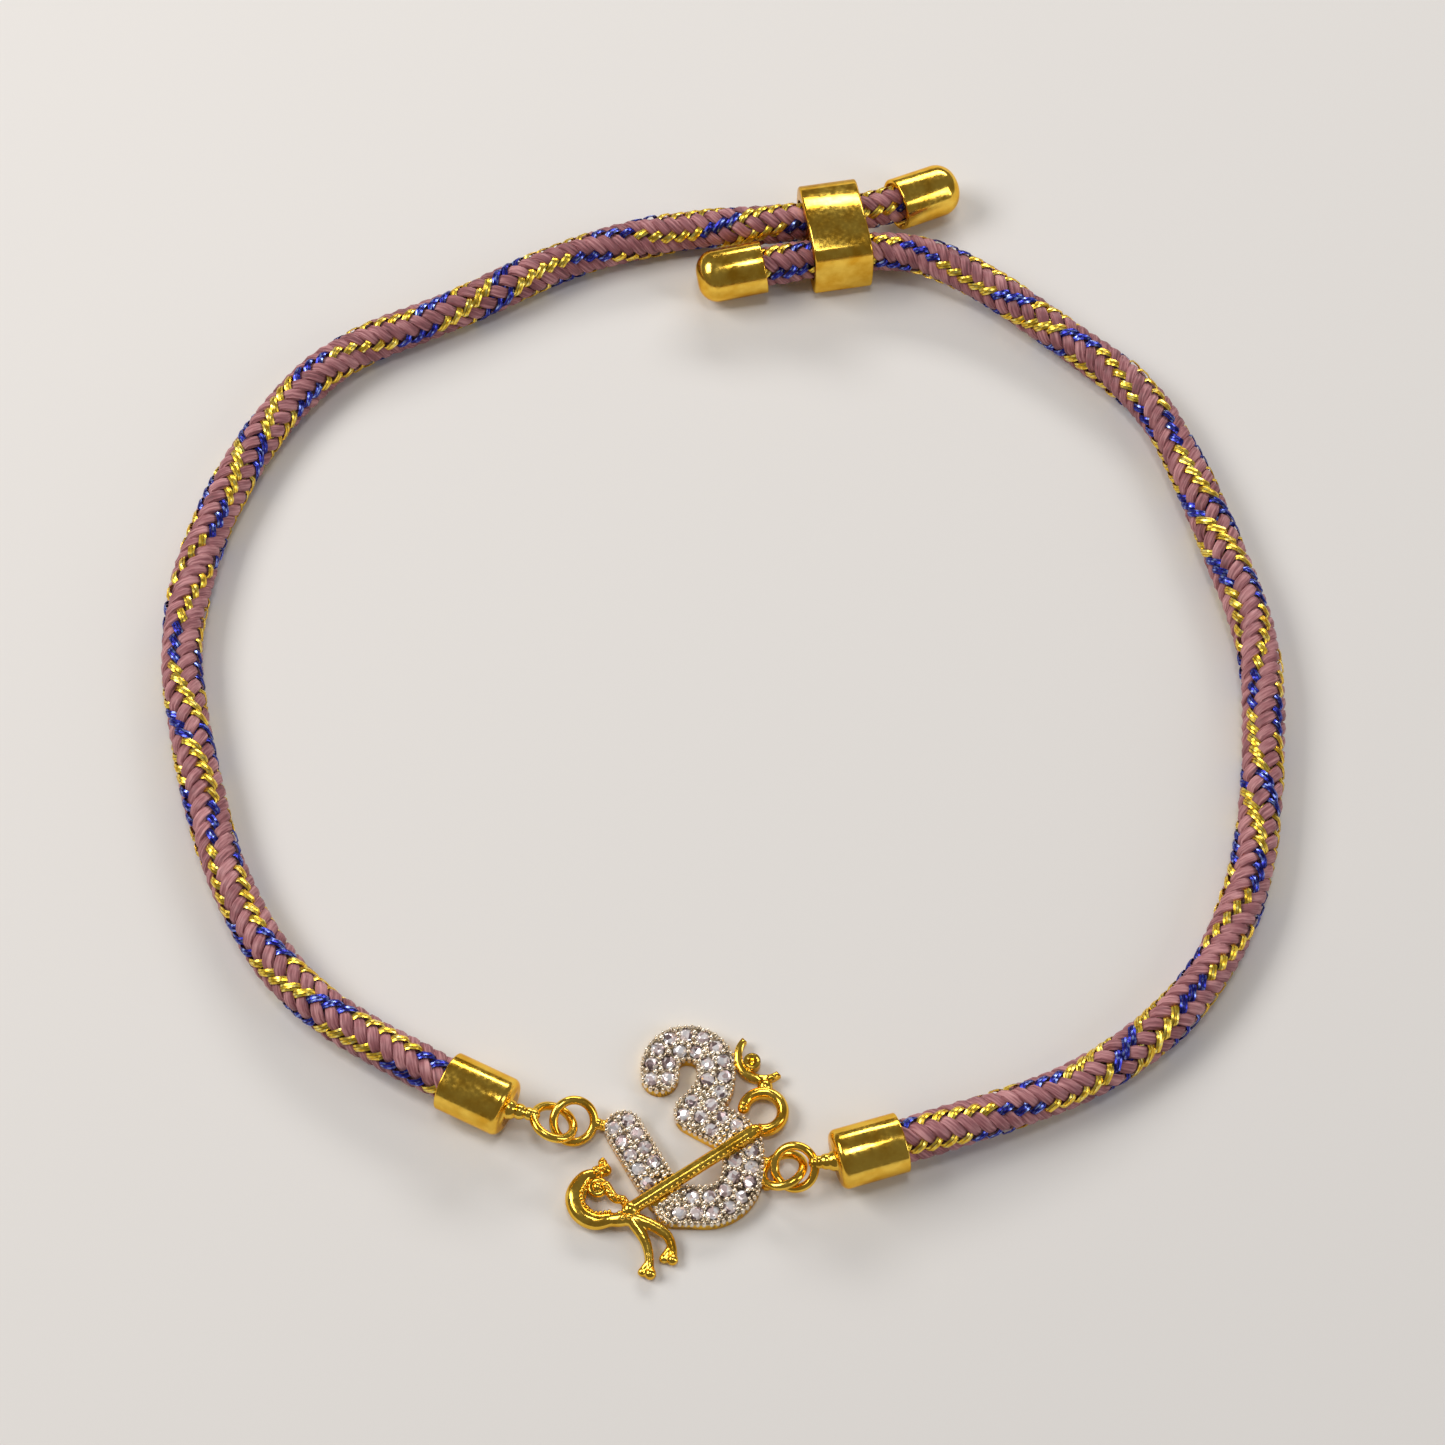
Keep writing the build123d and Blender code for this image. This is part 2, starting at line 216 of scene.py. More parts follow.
# what all the metals share: the scale of their clouds and of their fine wear, and how deep these go
metalGrain = {"cloudScale": 700.0, "cloudDetail": 3.0, "tones": (0.3, 0.62),
              "wearScale": 3200.0, "wearDetail": 4.0, "wearRange": (0.35, 0.7), "wearAdds": 0.14,
              "dentDepth": 0.12 * mm, "crinkleDepth": 0.05 * mm}
weldSet = {"distance": 0.002 * mm, "sharpFrom": 35}     # in metres and in degrees


def giltMetal(name, settings):
    mat, nodes, links, shader = newMaterial(name)
    coords = objectCoords(nodes)
    clouds = noiseTexture(nodes, links, coords, metalGrain["cloudScale"], metalGrain["cloudDetail"])
    stops = list(zip(metalGrain["tones"], (settings["deep"], settings["colour"])))
    links.new(toned(nodes, links, clouds, stops), shader.inputs["Base Color"])
    shader.inputs["Metallic"].default_value = 1
    shader.inputs["Specular Tint"].default_value = (*settings["edge"], 1)
    wear = noiseTexture(nodes, links, coords, metalGrain["wearScale"], metalGrain["wearDetail"])
    smoothest = settings["roughness"]
    roughness = remap(nodes, links, wear, metalGrain["wearRange"],
                      (smoothest, smoothest + metalGrain["wearAdds"]))
    links.new(roughness, shader.inputs["Roughness"])
    dents = addBump(nodes, links, shader, clouds, settings["dents"], metalGrain["dentDepth"])
    dents.name = "dents"
    crinkle = addBump(nodes, links, shader, wear, settings["crinkle"], metalGrain["crinkleDepth"])
    links.new(dents.outputs["Normal"], crinkle.inputs["Normal"])
    return mat


def mergedCopy(node, name):
    # a welded copy of a CAD node's mesh, so that its rounded faces shade smoothly
    source = bpy.data.objects[node]
    piece = source.copy()
    piece.data = source.data.copy()
    piece.name = name
    piece.data.materials.clear()
    bpy.context.collection.objects.link(piece)
    pick(piece)
    bpy.ops.object.mode_set(mode="EDIT")
    bpy.ops.mesh.select_all(action="SELECT")
    bpy.ops.mesh.remove_doubles(threshold=weldSet["distance"])
    bpy.ops.object.mode_set(mode="OBJECT")
    bpy.ops.object.shade_smooth_by_angle(angle=math.radians(weldSet["sharpFrom"]))
    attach(piece, "root")
    return piece


gilt = giltMetal("polishedGilt", giltSet)
# middle of the slider in mm, its turn in degrees, and the swell that its shading shows
sliderSet = {"centre": (9.05, 38.78), "turn": 10, "dome": -0.045}
fittings = {"slider": "sliderBead", "stopper_left": "stopperLeft", "stopper_right": "stopperRight",
            "end_cap_left": "capLeft", "end_cap_right": "capRight"}


def domedGilt():
    # the slider's top swells a little from front to back, which spreads its highlights
    mat = gilt.copy()
    mat.name = "domedGilt"
    nodes, links = mat.node_tree.nodes, mat.node_tree.links
    turn = math.radians(sliderSet["turn"])
    across = Vector((-math.sin(turn), math.cos(turn), 0))
    place = nodes.new("ShaderNodeVectorMath")
    place.operation = "DOT_PRODUCT"
    links.new(objectCoords(nodes), place.inputs[0])
    place.inputs[1].default_value = across / mm
    height = place.outputs["Value"]
    middle = across.dot(Vector((*sliderSet["centre"], 0)))
    for operation, number in (("SUBTRACT", middle), ("ABSOLUTE", None), ("POWER", 2.0),
                              ("MULTIPLY", sliderSet["dome"])):
        node = nodes.new("ShaderNodeMath")
        node.operation = operation
        links.new(height, node.inputs[0])
        if number is not None:
            node.inputs[1].default_value = number
        height = node.outputs["Value"]
    swell = addNode(nodes, "ShaderNodeBump", Strength=1.0, Distance=1.0 * mm)
    links.new(height, swell.inputs["Height"])
    links.new(swell.outputs["Normal"], nodes["dents"].inputs["Normal"])
    return mat


def makeFittings():
    for node, name in fittings.items():
        piece = mergedCopy(node, name)
        piece.data.materials.append(domedGilt() if node == "slider" else gilt)
        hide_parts(node)


makeFittings()
print("slider, stoppers and caps made")


# charm: the casting, the beads between its stones, and the stones

charmSet = {
    "origin": (-1.35, -37.14),
    "plateTop": 1.0,
    # strokes of the sign, from the charm's origin: half width, middle line and its corner radii
    "strokes": [
        {"half": 1.33, "points": [(-3.03, 3.9), (-3.03, 6.25), (0.9, 6.25), (0.9, 2.9), (-0.4, 1.3)],
         "radii": [1.8, 1.9, 2.4]},
        {"half": 1.42, "points": [(-0.6, 1.1), (2.8, -0.85), (2.75, -5.82), (-1.95, -5.72)],
         "radii": [1.7, 2.6]},
        {"half": 1.3, "points": [(-5.5, -0.12), (-4.2, -2.36), (-2.75, -4.85)], "radii": [20]},
    ],
    "flute": ((-4.96, -6.18), (3.65, -0.4)),
    "fluteRadius": 0.5,
}
# which of the casting's faces are pavé ground, darker with painted shade: its top, and the walls of the
# stones' seats
groundFaces = {"topFrom": 0.86, "facingUp": 0.3, "overTop": 0.01, "topDepth": 0.02,
               "seatFrom": 0.55, "seatDepth": 0.1, "offFlute": 0.01}
paveSet = {"colour": (1.0, 0.92, 0.80), "deep": (0.86, 0.73, 0.57), "edge": (1, 1, 1),
           "roughness": 0.18, "dents": 0.15, "crinkle": 0.05}
# the pavé ground's darker gilt: painted shade between the beads and down in the stones' seats
groundShadeSet = {"colour": (0.66, 0.55, 0.40), "deep": (0.24, 0.18, 0.12), "edge": (1, 1, 1),
             "roughness": 0.22, "dents": 0.40, "crinkle": 0.15}
# the stones' cell colours, from dark to white, are painted flashes and painted shade inside a cut stone
stoneSet = {"stops": [(0.10, (0.20, 0.14, 0.15)), (0.30, (0.74, 0.58, 0.59)), (0.55, (1.0, 0.93, 0.94)),
                      (0.85, (0.96, 0.94, 0.98))],
            "cellScale": 3100.0, "facets": 1.15, "roughness": 0.06, "mirror": 0.35,
            "coat": 0.4, "coatRoughness": 0.02}
# fine metal of the sign: a row of tall beads on its edge, then smaller ones between the stones
beadSet = {
    "edgeRadius": 0.18, "edgePitch": 0.41, "edgeInset": 0.09, "edgeTall": 0.40, "edgeRise": 0.5,
    "edgeStep": 0.02, "edgeSlack": 0.03, "edgeOffFlute": 0.1, "endStep": 2,
    "radii": (0.21, 0.17, 0.13), "rise": 0.35, "spacing": 0.9, "stoneRadius": 0.5,
    "overStone": 0.2, "inside": 0.8, "offFlute": 0.6,      # shares of a bead's radius
    "fieldX": (-7.2, 4.6), "fieldY": (-7.6, 7.9), "tries": 5000, "seed": 7,
}
# limbs of the casting: x, y, height and radius of each point, from the charm's origin
limbSet = {
    "flute": [(-4.96, -6.18, 1.28, 0.5), (-0.65, -3.29, 1.28, 0.5), (3.65, -0.4, 1.28, 0.5)],
    "feather": [(-7.0, -3.35, 0.72, 0.34), (-8.1, -3.72, 0.72, 0.55), (-8.78, -4.95, 0.74, 0.66),
                (-8.4, -6.2, 0.75, 0.68), (-7.35, -6.82, 0.74, 0.62), (-6.1, -6.62, 0.72, 0.48)],
    "twig": [(-6.66, -4.3, 0.85, 0.38), (-6.05, -5.22, 0.95, 0.34), (-5.47, -5.4, 1.0, 0.32),
             (-5.05, -6.1, 1.1, 0.32)],
    "root": [(-6.25, -6.75, 0.8, 0.47), (-5.6, -6.75, 0.95, 0.54), (-5.0, -6.6, 1.05, 0.58)],
    "firstTassel": [(-4.95, -6.7, 1.05, 0.46), (-4.1, -7.9, 0.88, 0.40), (-3.72, -8.8, 0.68, 0.35),
                    (-3.6, -9.7, 0.50, 0.31), (-3.56, -10.3, 0.42, 0.28)],
    "firstTuft": [(-3.6, -9.6, 0.5, 0.28), (-4.1, -10.3, 0.31, 0.31)],
    "secondTassel": [(-4.85, -6.65, 1.05, 0.46), (-3.5, -7.15, 0.93, 0.41), (-2.45, -7.8, 0.72, 0.37),
                     (-2.06, -8.7, 0.53, 0.32), (-2.05, -9.35, 0.42, 0.28)],
    "secondTuft": [(-2.1, -8.5, 0.5, 0.28), (-2.65, -9.35, 0.33, 0.33)],
}
limbFinish = {"smoothness": 8, "roundness": 4, "voxel": 0.08 * mm, "soften": 0.5, "rounds": 3}
limbTips = [(-3.55, -10.45, 0.44, 0.44), (-2.05, -9.45, 0.43, 0.42), (-4.1, -10.3, 0.33, 0.33),
            (-2.65, -9.35, 0.34, 0.34)]
# rows and groups of fine grains on the casting: x, y, height and radius
grainSmoothness = 12
grainRows = [
    {"line": [(-7.85, -4.1, 1.12), (-8.3, -4.9, 1.23), (-8.1, -5.85, 1.25), (-7.35, -6.36, 1.21),
              (-6.25, -6.22, 1.06)], "radius": 0.15, "pitch": 0.25},
    {"line": [(-6.6, -4.55, 1.15), (-6.05, -5.2, 1.25), (-5.5, -5.4, 1.28), (-5.15, -5.95, 1.4)],
     "radius": 0.2, "pitch": 0.36},
    {"line": [(-4.25, -6.11, 1.57), (-0.27, -3.44, 1.57), (3.3, -1.04, 1.57)],
     "radius": 0.13, "pitch": 0.22},
]
grains = [(-7.25, -3.35, 1.18, 0.25), (-6.9, -3.15, 1.15, 0.24), (-6.98, -2.75, 1.02, 0.22),
          (-6.9, -2.4, 0.86, 0.17), (-6.6, -2.9, 1.0, 0.17), (-7.45, -3.1, 0.95, 0.18),
          (-5.3, -6.35, 1.48, 0.24), (-5.0, -6.75, 1.5, 0.24), (-5.45, -6.8, 1.42, 0.22),
          (-4.75, -6.4, 1.5, 0.2), (-5.65, -6.45, 1.32, 0.2), (-6.7, -4.4, 1.3, 0.2)]


def roundedLine(points, radii):
    # a line through the points with each corner rounded by its radius
    line = [Vector(points[0])]
    steps = 8
    for before, corner, after, radius in zip(points, points[1:], points[2:], radii):
        corner = Vector(corner)
        back = (Vector(before) - corner).normalized()
        ahead = (Vector(after) - corner).normalized()
        half = back.angle(ahead) / 2
        reach = radius / math.tan(half)
        middle = corner + (back + ahead).normalized() * (radius / math.sin(half))
        start, end = corner + back * reach - middle, corner + ahead * reach - middle
        sweep = start.angle_signed(end)
        for number in range(steps + 1):
            turn = -sweep * number / steps
            line.append(middle + Vector((start.x * math.cos(turn) - start.y * math.sin(turn),
                                         start.x * math.sin(turn) + start.y * math.cos(turn))))
    return line + [Vector(points[-1])]


signLines = [(stroke["half"], roundedLine(stroke["points"], stroke["radii"]))
             for stroke in charmSet["strokes"]]


def distanceToLine(x, y, points):
    best = math.inf
    for (ax, ay), (bx, by) in zip(points, points[1:]):
        dx, dy = bx - ax, by - ay
        share = ((x - ax) * dx + (y - ay) * dy) / (dx * dx + dy * dy)
        share = max(0, min(1, share))
        best = min(best, math.hypot(x - ax - share * dx, y - ay - share * dy))
    return best


def depthInSign(x, y):
    return max(half - distanceToLine(x, y, line) for half, line in signLines)


def offFlute(x, y, margin):
    return distanceToLine(x, y, charmSet["flute"]) > charmSet["fluteRadius"] + margin


def makeCharm():
    charm = mergedCopy("charm_frame", "charmCasting")
    charm.data.materials.append(gilt)
    # the second slot is the darker gilt of painted shade on the pavé ground
    charm.data.materials.append(giltMetal("paveGroundShade", groundShadeSet))
    ox, oy = charmSet["origin"]
    limits = groundFaces
    for face in charm.data.polygons:
        x, y, z = face.center / mm
        if z <= limits["seatFrom"]:
            continue
        depth = depthInSign(x - ox, y - oy)
        onTop = z > limits["topFrom"] and (face.normal.z > limits["facingUp"]
                                           or z > charmSet["plateTop"] + limits["overTop"])
        if (onTop and depth > limits["topDepth"]) or depth > limits["seatDepth"]:
            if offFlute(x - ox, y - oy, limits["offFlute"]):
                face.material_index = 1
    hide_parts("charm_frame")


def smoothLine(points, smoothness):
    # a curve through the points, in so many steps from each to the next
    ends = [points[0]] + list(points) + [points[-1]]
    line = []
    for a, b, c, d in zip(ends, ends[1:], ends[2:], ends[3:]):
        for number in range(smoothness):
            t = number / smoothness
            line.append([0.5 * (2 * q + (r - p) * t + (2 * p - 5 * q + 4 * r - s) * t * t
                                + (3 * q - p - 3 * r + s) * t ** 3) for p, q, r, s in zip(a, b, c, d)])
    return line + [list(points[-1])]


def makeLimbs():
    # smooth rods over the casting's limbs, melted into one another
    ox, oy = charmSet["origin"]
    curve = bpy.data.curves.new("charmLimbs", "CURVE")
    curve.dimensions = "3D"
    curve.bevel_depth = 1 * mm
    curve.bevel_resolution = limbFinish["roundness"]
    curve.use_fill_caps = True
    for points in limbSet.values():
        line = smoothLine(points, limbFinish["smoothness"])
        spline = curve.splines.new("POLY")
        spline.points.add(len(line) - 1)
        for point, (x, y, z, radius) in zip(spline.points, line):
            point.co = ((ox + x) * mm, (oy + y) * mm, z * mm, 1)
            point.radius = radius
    limbs = bpy.data.objects.new("charmLimbs", curve)
    bpy.context.collection.objects.link(limbs)
    pick(limbs)
    bpy.ops.object.convert(target="MESH")
    tips = makeBeads("limbTips", [(x, y, z, radius, radius) for x, y, z, radius in limbTips], gilt)
    pick(limbs)
    tips.select_set(True)
    bpy.ops.object.join()
    melt = limbs.modifiers.new("melt", "REMESH")
    melt.mode = "VOXEL"
    melt.voxel_size = limbFinish["voxel"]
    soften = limbs.modifiers.new("soften", "SMOOTH")
    soften.factor = limbFinish["soften"]
    soften.iterations = limbFinish["rounds"]
    pick(limbs)
    bpy.ops.object.convert(target="MESH")
    bpy.ops.object.shade_smooth()
    limbs.data.materials.clear()
    limbs.data.materials.append(gilt)
    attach(limbs, "root")
    print("limbs", len(limbs.data.polygons))


def grainPlaces():
    places = [(x, y, z, radius, radius) for x, y, z, radius in grains]
    for row in grainRows:
        last = None
        for point in map(Vector, smoothLine(row["line"], grainSmoothness)):
            if last is None or (point - last).length > row["pitch"]:
                places.append((*point, row["radius"], row["radius"]))
                last = point
    return places


def stoneMiddles(stones):
    # each stone is one loose island of its node's mesh
    parent = list(range(len(stones.data.vertices)))

    def root(index):
        while parent[index] != index:
            parent[index] = parent[parent[index]]
            index = parent[index]
        return index

    for edge in stones.data.edges:
        first, second = root(edge.vertices[0]), root(edge.vertices[1])
        parent[first] = second
    islands = {}
    for vertex in stones.data.vertices:
        islands.setdefault(root(vertex.index), []).append(vertex.co / mm)
    return [sum(island, Vector()) / len(island) for island in islands.values()]


def makeStones():
    stones = mergedCopy("pave_stones", "cutStones")
    pick(stones)
    bpy.ops.object.shade_flat()
    mat, nodes, links, shader = newMaterial("clearStone")
    # painted flashes and shade: small cells with their own colour and tilt, bright and dark, for the
    # flashes inside a cut stone
    flashCells = addNode(nodes, "ShaderNodeTexVoronoi", Scale=stoneSet["cellScale"])
    links.new(objectCoords(nodes), flashCells.inputs["Vector"])
    split = nodes.new("ShaderNodeSeparateColor")
    links.new(flashCells.outputs["Color"], split.inputs["Color"])
    links.new(toned(nodes, links, split.outputs["Red"], stoneSet["stops"]), shader.inputs["Base Color"])
    facing = nodes.new("ShaderNodeNewGeometry").outputs["Normal"]
    tilt = flashCells.outputs["Color"]
    for operation, other in (("SUBTRACT", (0.5, 0.5, 0.5)), ("MULTIPLY", [stoneSet["facets"]] * 3),
                             ("ADD", facing), ("NORMALIZE", None)):
        node = nodes.new("ShaderNodeVectorMath")
        node.operation = operation
        links.new(tilt, node.inputs[0])
        if operation == "ADD":
            links.new(other, node.inputs[1])
        elif other is not None:
            node.inputs[1].default_value = other
        tilt = node.outputs["Vector"]
    links.new(tilt, shader.inputs["Normal"])
    shader.inputs["Roughness"].default_value = stoneSet["roughness"]
    shader.inputs["Metallic"].default_value = stoneSet["mirror"]
    shader.inputs["Coat Weight"].default_value = stoneSet["coat"]
    shader.inputs["Coat Roughness"].default_value = stoneSet["coatRoughness"]
    stones.data.materials.append(mat)
    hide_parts("pave_stones")
    return stones


def beadPlaces(stones):
    chooser = random.Random(beadSet["seed"])
    ox, oy = charmSet["origin"]
    middles = [(stone.x - ox, stone.y - oy) for stone in stones]
    inset, step = beadSet["edgeInset"], beadSet["edgeStep"]
    placed = []

    def addEdgeBead(x, y):
        onEdge = abs(depthInSign(x, y) - inset) <= beadSet["edgeSlack"]
        if onEdge and offFlute(x, y, beadSet["edgeOffFlute"]):
            if all(math.hypot(x - bx, y - by) > beadSet["edgePitch"] for bx, by, other in placed):
                placed.append((x, y, beadSet["edgeRadius"]))

    def hasRoom(x, y, radius):
        reach = beadSet["stoneRadius"] + radius * beadSet["overStone"]
        if any(math.hypot(x - sx, y - sy) < reach for sx, sy in middles):
            return False
        return all(math.hypot(x - bx, y - by) > (radius + other) * beadSet["spacing"]
                   for bx, by, other in placed)

    # an even row along both sides of each stroke, then round its ends
    for half, line in signLines:
        for before, after in zip(line, line[1:]):
            along = (after - before).normalized()
            side = Vector((-along.y, along.x)) * (half - inset)
            for number in range(int((after - before).length / step) + 1):
                place = before + along * step * number
                for x, y in (place + side, place - side):
                    addEdgeBead(x, y)
    for half, line in signLines:
        for end in (line[0], line[-1]):
            for degrees in range(0, 360, beadSet["endStep"]):
                turn = math.radians(degrees)
                addEdgeBead(end.x + (half - inset) * math.cos(turn),
                            end.y + (half - inset) * math.sin(turn))
    edge = len(placed)
    for radius in beadSet["radii"]:
        for number in range(beadSet["tries"]):
            x = chooser.uniform(*beadSet["fieldX"])
            y = chooser.uniform(*beadSet["fieldY"])
            inSign = depthInSign(x, y) >= radius * beadSet["inside"]
            if inSign and offFlute(x, y, radius * beadSet["offFlute"]) and hasRoom(x, y, radius):
                placed.append((x, y, radius))
    top, tall = charmSet["plateTop"], beadSet["edgeTall"]
    places = [(x, y, top + radius * beadSet["edgeRise"] - tall + radius, radius, tall)
              for x, y, radius in placed[:edge]]
    return places + [(x, y, top + radius * beadSet["rise"], radius, radius)
                     for x, y, radius in placed[edge:]]


def makeBeads(name, places, mat):
    # places: x, y and height from the charm's origin, radius and half height
    clearSelection()
    bpy.ops.mesh.primitive_ico_sphere_add(subdivisions=2, radius=1)
    first = bpy.context.object
    ball = [vertex.co.copy() for vertex in first.data.vertices]
    faces = [tuple(face.vertices) for face in first.data.polygons]
    bpy.data.objects.remove(first)
    ox, oy = charmSet["origin"]
    points, polygons = [], []
    for x, y, z, radius, tall in places:
        base = len(points)
        middle = Vector((ox + x, oy + y, z))
        size = Vector((radius, radius, tall))
        points += [(middle + corner * size) * mm for corner in ball]
        polygons += [tuple(base + index for index in face) for face in faces]
    mesh = bpy.data.meshes.new(name)
    mesh.from_pydata(points, [], polygons)
    beads = bpy.data.objects.new(name, mesh)
    bpy.context.collection.objects.link(beads)
    pick(beads)
    bpy.ops.object.shade_smooth()
    beads.data.materials.append(mat)
    return beads


makeCharm()
cutStones = makeStones()
makeLimbs()
paveMetal = giltMetal("paveMetal", paveSet)
for beads in (makeBeads("paveBeads", beadPlaces(stoneMiddles(cutStones)), paveMetal),
              makeBeads("castGrains", grainPlaces(), gilt)):
    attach(beads, "root")
print("charm made")


# cords: a braid of sixteen yarns on a smooth line through the route's points

onFloor = 1.6
inCap = 2.1
inSlider = 2.65
inStopper = 2.15
cordRoutes = {   # x, y and height of each point, in mm, from the end cap to the stopper
    "cord_left": [
        (-15.4, -36.0, inCap), (-23.5, -32.0, inCap), (-31.0, -26.6, onFloor),
        (-36.0, -18.0, onFloor), (-38.9, -8.5, onFloor), (-41.0, 1.5, onFloor),
        (-39.6, 11.5, onFloor), (-36.0, 20.5, onFloor), (-30.5, 28.0, onFloor),
        (-21.5, 32.0, onFloor), (-12.5, 37.5, onFloor), (-3.4, 40.3, onFloor),
        (4.1, 39.83, inSlider), (12.6, 41.34, inSlider), (17.8, 43.9, inStopper)],
    "cord_right": [
        (8.4, -39.9, inCap), (17.5, -37.2, inCap), (26.5, -33.6, onFloor),
        (34.0, -27.2, onFloor), (38.2, -18.5, onFloor), (39.9, -8.5, onFloor),
        (40.5, 1.0, onFloor), (38.0, 10.5, onFloor), (36.0, 17.5, onFloor),
        (33.3, 24.0, onFloor), (27.3, 29.4, onFloor), (20.3, 35.3, inCap),
        (14.2, 37.76, inSlider), (5.0, 36.13, inSlider), (-0.8, 35.1, inStopper)],
}
cordSet = {
    "diameter": 3.2,
    "carriers": 8,        # yarns each way
    "step": 0.27,         # between the sections of a yarn
    # a yarn's distance from the cord's middle, its swing in and out, how its top leans and flattens,
    # the way in which it winds, and half its width and thickness
    "textile": {"radius": 1.08, "swing": 0.24, "lean": 0.09, "flatness": 0.9, "way": -1,
                "half": (0.48, 0.31)},
    "metal": {"radius": 1.36, "swing": -0.24, "lean": -0.10, "flatness": 3.6, "way": 1,
              "half": (0.082, 0.022)},
    "sides": 8,           # of a textile yarn's section
    "squareness": 0.8,    # of that section: 1 is an oval
    "waist": 0.24,        # how much thinner a textile yarn is where it dives
    "flankShade": 0.38,    # painted shade: how much darker its flanks are than its top
    "ribbons": 3,         # in a metallic yarn
    "ribbonPitch": 0.185, "ribbonStray": 0.03, "ribbonDroop": 0.25,
    "ribbonRoll": 12,     # degrees
    "ribbonLean": 1.6,    # radians for each mm from the yarn's middle
    "coreRadius": 0.98, "coreSides": 8,
    "wander": 0.035,      # how far a yarn strays from its place
    "swell": 0.08,        # how much the whole braid swells and thins
    "squeeze": 0.05,      # how much thinner the braid is inside metal
    "metalMargin": 0.3,   # how far outside a mouth that begins
    "bendReach": 2, "twistReach": 4, "squeezeReach": 3,    # steps over which each is evened
    "sharpFrom": 50,      # degrees
}
# how fast each slow noise changes along the cord
driftRates = {"stray": 0.45, "bulge": 0.30, "swell": 0.16, "ribbonStray": 0.8, "ribbonRoll": 1.1}
# what sets a yarn's noise and pattern apart from the others': any numbers would do
yarnSeeds = {"textileMap": 3.7, "metalMap": 5.1, "metal": 20, "carrier": 3.3, "ribbon": 1.7}
# lead: length in which a yarn goes once round; shift: of the pattern along the cord;
# blue: the carriers of blue thread; twist: of the braid in degrees, every 2.5 mm from the cap
twistStep = 2.5
cordPattern = {
    "cord_left": {
        "lead": 8.95, "shift": 0.2, "blue": (1, 2, 3), "seed": 3.1,
        "twist": [35, 30, 30, 20, 8, 12, 45, 80, 110, 120, 112, 93, 58, 22, 12, 28, 75, 125, 158,
                  152, 130, 97, 60, 12, 8, 20, 70, 115, 152, 162, 150, 115, 75, 52, 58, 84, 132,
                  178, 195, 190, 160, 124, 86, 74, 102, 148, 172, 175]},
    "cord_right": {
        "lead": 8.7, "shift": 0, "blue": (4, 5, 6), "seed": 8.4,
        "twist": [5, 2, -5, -18, -40, -78, -108, -110, -70, -15, 30, 44, 30, 4, -35, -68, -66,
                  -38, 15, 68, 94, 96, 78, 40, 6, -5, 10, 47, 103, 143, 152, 143, 116, 94, 60, 32,
                  52, 104, 152, 192, 190, 170, 141, 122, 115]},
}


def routeLine(name):
    # the route's own spline, with the route's points as its control points
    route = [Vector(point) * mm for point in cordRoutes[name]]
    curve = bpy.data.curves.new(name + "Route", "CURVE")
    curve.dimensions = "3D"
    curve.resolution_u = 40
    spline = curve.splines.new("NURBS")
    spline.points.add(len(route) - 1)
    for point, place in zip(spline.points, route):
        point.co = (*place, 1)
    spline.order_u = 3
    spline.use_endpoint_u = True
    holder = bpy.data.objects.new(name + "Route", curve)
    bpy.context.collection.objects.link(holder)
    bpy.context.view_layer.update()
    line = bpy.data.meshes.new_from_object(holder)
    points = [vertex.co.copy() for vertex in line.vertices]
    bpy.data.objects.remove(holder)
    bpy.data.meshes.remove(line)
    return points


def evenPoints(points, step):
    lengths = [0.0]
    for before, after in zip(points, points[1:]):
        lengths.append(lengths[-1] + (after - before).length)
    count = round(lengths[-1] / step)
    evened, index = [], 0
    for number in range(count + 1):
        travel = lengths[-1] * number / count
        while index < len(points) - 2 and lengths[index + 1] < travel:
            index += 1
        share = (travel - lengths[index]) / (lengths[index + 1] - lengths[index])
        evened.append(points[index].lerp(points[index + 1], share))
    return evened, lengths[-1]


def crossFrames(points):
    frames = []
    for index, point in enumerate(points):
        before = points[max(0, index - cordSet["bendReach"])]
        after = points[min(len(points) - 1, index + cordSet["bendReach"])]
        along = (after - before).normalized()
        side = Vector((0, 0, 1)).cross(along).normalized()
        frames.append((point, along, side, along.cross(side)))
    return frames


def smoothed(values, reach):
    evened = []
    for index in range(len(values)):
        window = values[max(0, index - reach):index + reach + 1]
        evened.append(sum(window) / len(window))
    return evened


def twistAt(turns, travel):
    index = min(int(travel / twistStep), len(turns) - 1)
    following = turns[min(index + 1, len(turns) - 1)]
    return turns[index] + (following - turns[index]) * (travel / twistStep - index)


metalBoxes = [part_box(node) for node in fittings]


def insideMetal(point):
    margin = cordSet["metalMargin"] * mm
    for low, high in metalBoxes:
        if all(a - margin < c < b + margin for a, c, b in zip(low, point, high)):
            return 1.0
    return 0.0


